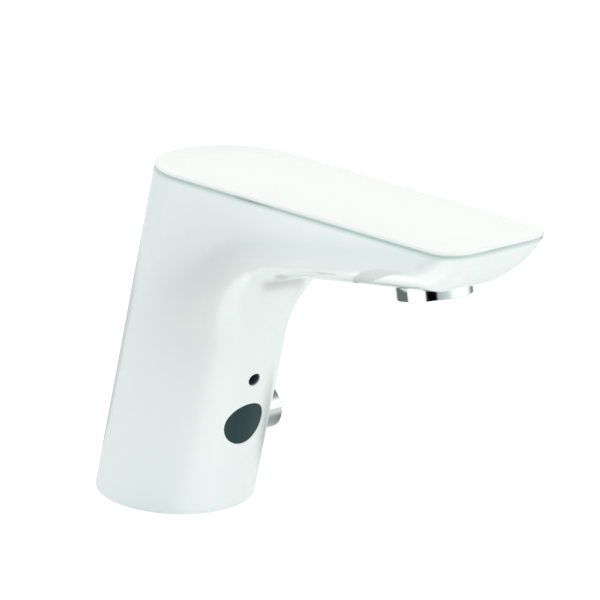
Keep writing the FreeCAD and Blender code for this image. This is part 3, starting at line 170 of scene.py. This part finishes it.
# bright stainless steel: fine drawn grain, long in Z
stainless = finish("drawn_stainless_steel", colour("#B4B6B8"), roughness=0.24, grain=0.2 * MM,
                   depth=0.0015 * MM, stretch=(1, 1, 0.2), Metallic=1.0)
# the clamp behind the small hole is chemically blackened steel, dull, so that nothing glints there
blackened_steel = finish("blackened_stainless_steel", colour("#141D21"), roughness=0.55, grain=0.3 * MM,
                         depth=0.003 * MM, tint=0.1, Metallic=0.3)
# hard-drawn spring wire: grey and half dull, with a fine even grain
spring_wire = finish("patented_spring_wire", colour("#8F9296"), roughness=0.3, grain=0.2 * MM,
                     depth=0.0015 * MM, Metallic=1.0)
# black nitrile rubber: matte with a dusty bloom
rubber = finish("nitrile_rubber", colour("#1B1B1C"), roughness=0.75, grain=0.4 * MM, depth=0.01 * MM,
                spread=0.08, tint=0.15)
# dark slate rubber, for the small hole's sleeve: matte and slightly mottled
sleeve_rubber = finish("slate_rubber", colour("#3D5058"), roughness=0.6, grain=0.4 * MM, depth=0.01 * MM,
                       tint=0.15)
# moulded black nylon with glass fibre: satin, with the mould's fine spark grain
black_moulding = finish("black_glass_filled_nylon", colour("#1D1D1F"), roughness=0.5, grain=0.3 * MM,
                        depth=0.006 * MM, tint=0.12)
# moulded grey acetal: waxy and half dull
grey_moulding = finish("grey_acetal_moulding", colour("#B9BFBF"), roughness=0.42, grain=0.3 * MM,
                       depth=0.004 * MM, tint=0.06)
# the aerator's outer screen, moulded acetal: satin grey
screen_moulding = finish("grey_aerator_acetal", colour("#AEB6B5"), roughness=0.4, grain=0.3 * MM,
                         depth=0.004 * MM, tint=0.06)
# enamelled copper wire: its turns show as fine ridges across the winding, drawn coarse enough to be seen
copper = finish("enamelled_copper_wire", colour("#B4562B"), roughness=0.3, grain=0.5 * MM, depth=0.06 * MM,
                stretch=(0.02, 0.02, 1), tint=0.3, Metallic=0.9)
# green solder mask, printed over fibreglass: half glossy and a little uneven
board_green = finish("solder_mask", colour("#14532E"), roughness=0.35, grain=0.6 * MM, depth=0.004 * MM,
                     tint=0.2)
# the infrared lamp's clear cast epoxy: glossy and partly see-through
clear_epoxy = finish("clear_lamp_epoxy", colour("#C6CEDD"), roughness=0.08, grain=1.0 * MM,
                     depth=0.0005 * MM, IOR=1.54, Transmission_Weight=0.6)
# the receiver's cast epoxy, which passes only infrared: glossy black
black_epoxy = finish("black_receiver_epoxy", colour("#131316"), roughness=0.12, grain=1.0 * MM,
                     depth=0.0005 * MM, IOR=1.54)
# extruded cable jacket: an even satin black
cable_jacket = finish("smooth_cable_jacket", colour("#161617"), roughness=0.5, grain=0.5 * MM,
                      depth=0.004 * MM, tint=0.1)

dress(white_enamel, "tap_body")
dress(chrome, "temperature_knob", "aerator_ring")
dress(window_plastic, "sensor_window")
dress(brass, "base_plate", "valve_block", "cartridge_sleeve", "cartridge_nut")
dress(stainless, "base_screws", "hot_filter", "cold_filter", "mixing_spindle", "knob_screw", "bonnet_screws",
      "armature_tube", "fixed_core", "plunger", "coil_yoke")
dress(blackened_steel, "sensor_clamp", "clamp_screw")
dress(spring_wire, "hot_check_spring", "cold_check_spring", "plunger_spring")
dress(rubber, "base_seal", "spindle_seal", "diaphragm", "aerator_gasket", "window_seal")
dress(black_moulding, "signal_connector", "sensor_housing", "coil_bobbin", "solenoid_bonnet")
dress(grey_moulding, "hot_check_housing", "cold_check_housing", "hot_check_poppet", "cold_check_poppet",
      "mixing_rotor", "spindle_bush", "aerator_insert", "flow_limiter", "outlet_tube")
dress(screen_moulding, "aerator_screen")
dress(copper, "coil_winding")
dress(board_green, "sensor_board")
dress(clear_epoxy, "ir_emitter")
dress(black_epoxy, "ir_receiver")
dress(cable_jacket, "sensor_lead", "valve_lead")


# ------------------------------------------------------------------ springs

# each spring's joint, the place in millimetres of the end that it shortens towards, and the share of its
# length that is left at the joint's limit;
# here each spring only gets a mesh of its own
SPRINGS = [("hot_check_spring", "hot_check_lift", (-11.5, 9.5, 22.9), 0.80),
           ("cold_check_spring", "cold_check_lift", (-11.5, -9.5, 22.9), 0.80),
           ("plunger_spring", "plunger_lift", (6.0, 0, 69.8), 0.82)]

for spring, joint, fixed_end, share_left in SPRINGS:
    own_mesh(nodes[spring])


# ------------------------------------------------------------------ pieces added to the casting

CORNER_ANGLE = math.radians(28)                    # an edge that turns by more than this stays sharp


def add_piece(name, shape, material):
    """Make a finished bmesh an object that rides the tap."""
    for face in shape.faces:
        face.smooth = True
    for edge in shape.edges:
        edge.smooth = edge.calc_face_angle(0) < CORNER_ANGLE
    data = bpy.data.meshes.new(name)
    shape.to_mesh(data)
    shape.free()
    data.materials.append(material)
    piece = bpy.data.objects.new(name, data)
    bpy.context.scene.collection.objects.link(piece)
    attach(piece, "tap")
    return piece


# the soft line under the rolled top edge: the height of its middle, half its width, its depth, and
# how many cuts each half gets
RIM_LINE = 128.8 * MM
RIM_HALF = 0.6 * MM
RIM_DEPTH = 0.3 * MM
RIM_CUTS = 6
CUT_SNAP = 1e-7                                    # a corner this near to a cut is taken to lie on it
# painted shade: the enamel's colour is a little darker in the line, from so far below it to so far above it
RIM_PAINTED_SHADE = "#C4D4D1"
SHADE_BELOW = 2.0 * MM
SHADE_ABOVE = 0.7 * MM
# how a CAD mesh's loose triangles are joined, and how sharply a folded sliver turns
MERGE_DISTANCE = 0.002 * MM
FOLD_ANGLE = math.radians(170)


def groove_below_the_rim(shape):
    """Press the line in, all round the tap."""
    for step in range(-RIM_CUTS, RIM_CUTS + 1):
        level = RIM_LINE + RIM_HALF * step / RIM_CUTS
        bmesh.ops.bisect_plane(shape, geom=shape.verts[:] + shape.edges[:] + shape.faces[:], dist=CUT_SNAP,
                               plane_co=(0, 0, level), plane_no=(0, 0, 1))
    shape.normal_update()
    pressed = [vert for vert in shape.verts if abs(vert.co.z - RIM_LINE) < RIM_HALF]
    outward = [Vector((vert.normal.x, vert.normal.y, 0)).normalized() for vert in pressed]
    for vert, away in zip(pressed, outward):
        share = (1 + math.cos(math.pi * (vert.co.z - RIM_LINE) / RIM_HALF)) / 2
        vert.co -= away * RIM_DEPTH * share


def rimmed_casting():
    """The casting as the CAD gives it, with the line under its rim."""
    shape = bmesh.new()
    shape.from_mesh(nodes["tap_body"].data)
    bmesh.ops.remove_doubles(shape, verts=shape.verts, dist=MERGE_DISTANCE)
    # a sliver under the rim is folded over: its inner corners go, and its long edge stays
    folds = [edge for edge in shape.edges if edge.calc_face_angle(0) > FOLD_ANGLE]
    kept = max(folds, key=lambda edge: edge.calc_length()).verts[:]
    folded = {vert for edge in folds for vert in edge.verts if vert not in kept}
    # taken in the mesh's own order, so that every run gives the same shape
    bmesh.ops.dissolve_verts(shape, verts=[vert for vert in shape.verts if vert in folded])
    # flat triangles before the cuts, so that no cut makes a face twice
    bmesh.ops.triangulate(shape, faces=shape.faces)
    groove_below_the_rim(shape)
    bmesh.ops.triangulate(shape, faces=shape.faces)
    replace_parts(add_piece("casting_with_rolled_rim", shape, white_enamel), "tap_body")


def paint_shade_in_the_rim_line(material):
    """Paint shade into the enamel's colour at the line's height, as a slightly darker tone."""
    tree = material.node_tree
    place = tree.nodes["Texture Coordinate"].outputs["Object"]
    height = add_node(tree, "SeparateXYZ", {"Vector": place}).outputs["Z"]
    # painted shade in the crease under the rim, strongest at the line's middle
    from_below = ramp_between(tree, height, RIM_LINE - SHADE_BELOW, RIM_LINE)
    from_above = ramp_between(tree, height, RIM_LINE + SHADE_ABOVE, RIM_LINE)
    share = arithmetic(tree, "MULTIPLY", from_below, from_above)
    enamel = tree.nodes["Principled BSDF"].inputs["Base Color"]
    tree.links.new(blend(tree, share, enamel.links[0].from_socket, colour(RIM_PAINTED_SHADE)), enamel)


rimmed_casting()
paint_shade_in_the_rim_line(white_enamel)

# the small hole has a dark slate rubber sleeve a little way in, which hides its bare wall
HOLE_PLACE = (47.8 * MM, 0, 53.4 * MM)
HOLE_LEAN = -73.5                                  # degrees about Y, from straight up to into the tap
SLEEVE_OUTER = 2.48 * MM                           # radii
SLEEVE_INNER = 2.2 * MM
SLEEVE_FRONT = 0.5 * MM                            # depths from the hole's mouth
SLEEVE_LIP = 0.8 * MM                              # the inner edge is further in, so the front is a cone
SLEEVE_BACK = 3.0 * MM
SLEEVE_SIDES = 48


def hole_sleeve():
    shape = bmesh.new()
    profile = [(SLEEVE_OUTER, SLEEVE_FRONT), (SLEEVE_OUTER, SLEEVE_BACK),
               (SLEEVE_INNER, SLEEVE_BACK), (SLEEVE_INNER, SLEEVE_LIP)]
    corners = [shape.verts.new((radius, 0, depth)) for radius, depth in profile]
    sides = [shape.edges.new(pair) for pair in zip(corners, corners[1:] + corners[:1])]
    bmesh.ops.spin(shape, geom=sides, cent=(0, 0, 0), axis=(0, 0, 1), angle=2 * math.pi,
                   steps=SLEEVE_SIDES, use_merge=True)
    bmesh.ops.recalc_face_normals(shape, faces=shape.faces)
    bmesh.ops.rotate(shape, matrix=Matrix.Rotation(math.radians(HOLE_LEAN), 3, "Y"), verts=shape.verts)
    bmesh.ops.translate(shape, vec=HOLE_PLACE, verts=shape.verts)
    add_piece("hole_sleeve", shape, sleeve_rubber)


hole_sleeve()


# ------------------------------------------------------------------ studio

bpy.context.scene.view_settings.view_transform = "Standard"

# the even light from all round
FILL_TONE = "#EFFBFB"
FILL_STRENGTH = 0.84

# What the reflections see, as a share of PEAK: the walls low down and the far paper, the near
# paper, the band over the walls, and what is above that. The lists give a grey for each azimuth
# in degrees.
PEAK = 2.0
WALL_TONES = [(-180, 0.42), (-155, 0.55), (-135, 0.90), (-64, 0.85), (-59, 0.0), (-36, 0.0), (-31, 0.28),
              (0, 0.42), (26, 0.80), (60, 0.75), (82, 0.16), (100, 0.14), (125, 0.46), (180, 0.42)]
PAPER_TONES = [(-180, 0.40), (-100, 0.46), (-72, 0.42), (-58, 0.36), (-42, 0.46), (-29, 0.95), (-8, 0.92),
               (10, 0.55), (48, 0.42), (110, 0.44), (136, 0.46), (150, 0.26), (166, 0.26)]
SKY_TONES = [(-180, 0.46), (-35, 0.46), (10, 0.80), (60, 0.75), (90, 0.30), (110, 0.30), (130, 0.46)]
HIGH_TONE = 0.14
# the walls give way to the band, and the band to what is above it, between these steepnesses
# (a direction's Z, from 0 level to 1 straight up)
BAND_FROM = (0.12, 0.22)
HIGH_FROM = (0.30, 0.75)
# the near paper gives way to the far paper between these distances from the foot
PAPER_EDGE = (0.30, 0.45)
# painted shade in what the reflections see of the table, before the tap and under its knob: place, inner and
# outer radius
PAINTED_SHADE_GREY = 0.04
PAINTED_SHADE_SPOTS = [((0.085, -0.158, 0), 0.02, 0.065),
               ((0.018, 0.076, 0), 0.008, 0.045)]

FLOOR_HALF_SIDE = 3.0
PAPER_COLOUR = "#FBFDFC"
# a painted pool of light: the paper itself glows round the foot and brightens the tap from below: from its
# outer to its inner edge, and by how much
PAINTED_GLOW_EDGES = (0.16, 0.05)
PAINTED_GLOW_STRENGTH = 0.06
# the camera sees white paper that keeps a faint shadow: its own glow, and the grey that takes the light
PAPER_GLOW = 0.86
SHADOW_GREY = (0.2, 0.2, 0.2, 1)


def by_ray(tree, camera_sees, mirrors_see, lit):
    """One shader for camera and glass rays, one for reflections and one for the rest of the light."""
    rays = add_node(tree, "LightPath").outputs
    looking = arithmetic(tree, "MAXIMUM", rays["Is Camera Ray"], rays["Is Transmission Ray"])
    mixed = add_node(tree, "MixShader", {0: rays["Is Glossy Ray"], 1: lit, 2: mirrors_see}).outputs[0]
    return add_node(tree, "MixShader", {0: looking, 1: mixed, 2: camera_sees}).outputs[0]


def tinted(grey):
    """A grey of the studio: the darker it is, the more it leans to green-blue."""
    return (grey * (0.86 + 0.14 * grey), grey, grey * (0.97 + 0.03 * grey), 1)


def round_the_compass(tree, vector, stops):
    """A tone for each direction: the stops are (azimuth in degrees, grey) pairs."""
    parts = add_node(tree, "SeparateXYZ", {"Vector": vector}).outputs
    turn = arithmetic(tree, "ARCTAN2", parts["Y"], parts["X"])
    share = add_node(tree, "MapRange", {"Value": turn, "From Min": -math.pi, "From Max": math.pi}).outputs[0]
    ramp = add_node(tree, "ValToRGB", {"Fac": share})
    marks = ramp.color_ramp.elements
    while len(marks) < len(stops):
        marks.new(0.5)
    for mark, (azimuth, grey) in zip(marks, stops):
        mark.position = (azimuth + 180) / 360
        mark.color = tinted(grey)
    return ramp.outputs["Color"]


def studio_world():
    world = bpy.data.worlds.new("studio")
    bpy.context.scene.world = world
    world.use_nodes = True
    tree = world.node_tree
    tree.nodes.clear()
    direction = add_node(tree, "TexCoord").outputs["Generated"]
    upward = add_node(tree, "SeparateXYZ", {"Vector": direction}).outputs["Z"]
    tone = blend(tree, ramp_between(tree, upward, *BAND_FROM), round_the_compass(tree, direction, WALL_TONES),
                 round_the_compass(tree, direction, SKY_TONES))
    tone = blend(tree, ramp_between(tree, upward, *HIGH_FROM), tone, tinted(HIGH_TONE))
    plain = add_node(tree, "Background", {"Color": WHITE, "Strength": 1.0}).outputs[0]
    mirrored = add_node(tree, "Background", {"Color": tone, "Strength": PEAK}).outputs[0]
    fill = add_node(tree, "Background", {"Color": colour(FILL_TONE), "Strength": FILL_STRENGTH}).outputs[0]
    add_node(tree, "OutputWorld", {"Surface": by_ray(tree, plain, mirrored, fill)})


def white_paper():
    """The floor's material."""
    paper = empty_material("white_paper")
    tree = paper.node_tree
    place = add_node(tree, "TexCoord").outputs["Object"]
    from_foot = add_node(tree, "VectorMath", {0: place}, operation="LENGTH").outputs["Value"]
    tone = blend(tree, ramp_between(tree, from_foot, *PAPER_EDGE),
                 round_the_compass(tree, place, PAPER_TONES), round_the_compass(tree, place, WALL_TONES))
    # painted shade for the reflections: the spot before the tap darkens the column's upper side, and the one
    # under the knob stands in for its shadow
    for spot, inner, outer in PAINTED_SHADE_SPOTS:
        away = add_node(tree, "VectorMath", {0: place, 1: spot}, operation="DISTANCE").outputs["Value"]
        tone = blend(tree, ramp_between(tree, away, inner, outer), tinted(PAINTED_SHADE_GREY), tone)
    mirrored = add_node(tree, "Emission", {"Color": tone, "Strength": PEAK}).outputs[0]
    matte = add_node(tree, "BsdfDiffuse", {"Color": colour(PAPER_COLOUR)}).outputs[0]
    # painted light: the paper glows round the foot, seen by the light that reaches the tap but not by the
    # camera or the reflections
    near_foot = arithmetic(tree, "MULTIPLY", ramp_between(tree, from_foot, *PAINTED_GLOW_EDGES), PAINTED_GLOW_STRENGTH)
    painted_glow = add_node(tree, "Emission", {"Color": WHITE, "Strength": near_foot}).outputs[0]
    matte = add_node(tree, "AddShader", {0: matte, 1: painted_glow}).outputs[0]
    glow = add_node(tree, "Emission", {"Color": WHITE, "Strength": PAPER_GLOW}).outputs[0]
    faint = add_node(tree, "BsdfDiffuse", {"Color": SHADOW_GREY}).outputs[0]
    shown = add_node(tree, "AddShader", {0: glow, 1: faint}).outputs[0]
    add_node(tree, "OutputMaterial", {"Surface": by_ray(tree, shown, mirrored, matte)})
    return paper


def paper_floor():
    grid = bmesh.new()
    bmesh.ops.create_grid(grid, x_segments=1, y_segments=1, size=FLOOR_HALF_SIDE)
    floor_data = bpy.data.meshes.new("floor")
    grid.to_mesh(floor_data)
    grid.free()
    floor = bpy.data.objects.new("floor", floor_data)
    bpy.context.scene.collection.objects.link(floor)
    floor.data.materials.append(white_paper())


def softbox(name, place, towards, width, height, power, tone):
    """A soft lamp that the reflections don't show."""
    lamp_data = bpy.data.lights.new(name, "AREA")
    lamp_data.shape = "RECTANGLE"
    lamp_data.size = width
    lamp_data.size_y = height
    lamp_data.energy = power
    lamp_data.color = colour(tone)[:3]
    lamp = bpy.data.objects.new(name, lamp_data)
    lamp.location = place
    lamp.rotation_euler = turned_towards(place, towards)
    lamp.visible_glossy = False
    bpy.context.scene.collection.objects.link(lamp)


def card(name, place, width, height, turn, grey, reflected):
    """An upright dark card turned about Z, which either the reflections or the soft light meet."""
    sheet = bmesh.new()
    bmesh.ops.create_grid(sheet, x_segments=1, y_segments=1, size=0.5)
    bmesh.ops.scale(sheet, vec=(width, height, 1), verts=sheet.verts)
    bmesh.ops.rotate(sheet, matrix=Matrix.Rotation(math.pi / 2, 3, "X"), verts=sheet.verts)
    bmesh.ops.rotate(sheet, matrix=Matrix.Rotation(math.radians(turn), 3, "Z"), verts=sheet.verts)
    bmesh.ops.translate(sheet, vec=place, verts=sheet.verts)
    data = bpy.data.meshes.new(name)
    sheet.to_mesh(data)
    sheet.free()
    surface = empty_material(name)
    shade = add_node(surface.node_tree, "Emission", {"Color": tinted(grey), "Strength": PEAK}).outputs[0]
    add_node(surface.node_tree, "OutputMaterial", {"Surface": shade})
    data.materials.append(surface)
    item = bpy.data.objects.new(name, data)
    item.visible_camera = item.visible_shadow = item.visible_transmission = False
    item.visible_glossy = reflected
    item.visible_diffuse = not reflected
    bpy.context.scene.collection.objects.link(item)


studio_world()
paper_floor()

# one card gives the outlet's chrome its dark left side, and one takes light from the column's upper side
card("card_by_the_outlet", place=(0.117, -0.019, 0.0955), width=0.032, height=0.0145, turn=-57, grey=0.10,
     reflected=True)
card("card_by_the_column", place=(0.060, -0.068, 0.092), width=0.042, height=0.042, turn=30, grey=0.08,
     reflected=False)

TAP_MIDDLE = (0.05, 0, 0.07)
softbox("overhead_softbox", place=(0.1, 0.1, 0.9), towards=TAP_MIDDLE, width=0.8, height=0.8, power=2.9,
        tone="#FFDED8")
softbox("front_softbox", place=(0.9, 0.3, 0.4), towards=TAP_MIDDLE, width=0.5, height=0.7, power=0.9,
        tone="#FFF2EE")
